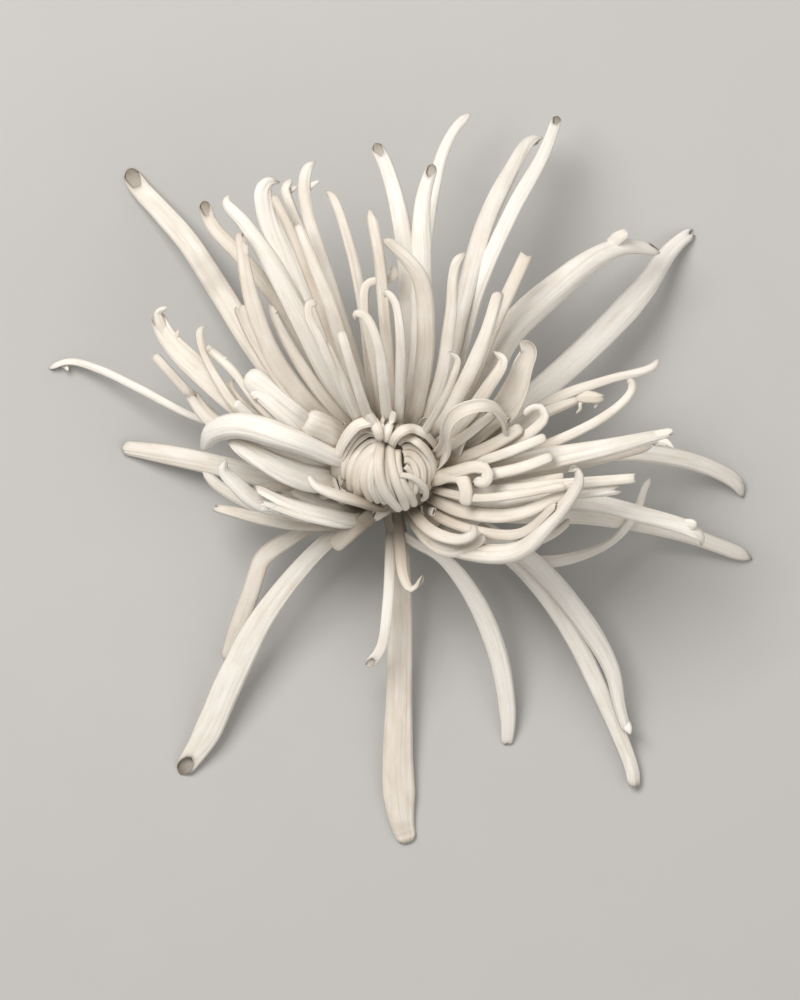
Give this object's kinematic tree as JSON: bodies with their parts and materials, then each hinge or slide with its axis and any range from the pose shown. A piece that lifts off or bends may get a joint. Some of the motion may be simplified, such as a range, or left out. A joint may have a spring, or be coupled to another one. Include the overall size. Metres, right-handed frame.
{
  "type": "spider chrysanthemum bloom",
  "caption": "White spider chrysanthemum, one cut bloom lying face up on its outer florets, with its bract cup and a stub of stem.",
  "frame": {"origin": "on the resting plane, below the middle of the bloom's outline seen from above", "axes": "+Z up, out of the bloom's face; +Y towards the side where most of the florets stand; +X to the right seen from above with +Y up"},
  "size_m": [0.141, 0.1468, 0.0584],
  "materials": {
    "floret": "satin ivory white, finely grooved along its length",
    "bract": "matte green with paler papery edges",
    "stem": "matte ribbed green, pale at the cut"
  },
  "bodies": {
    "root": {"florets": "floret", "involucre": "bract", "stem": "stem"}
  },
  "joints": []
}
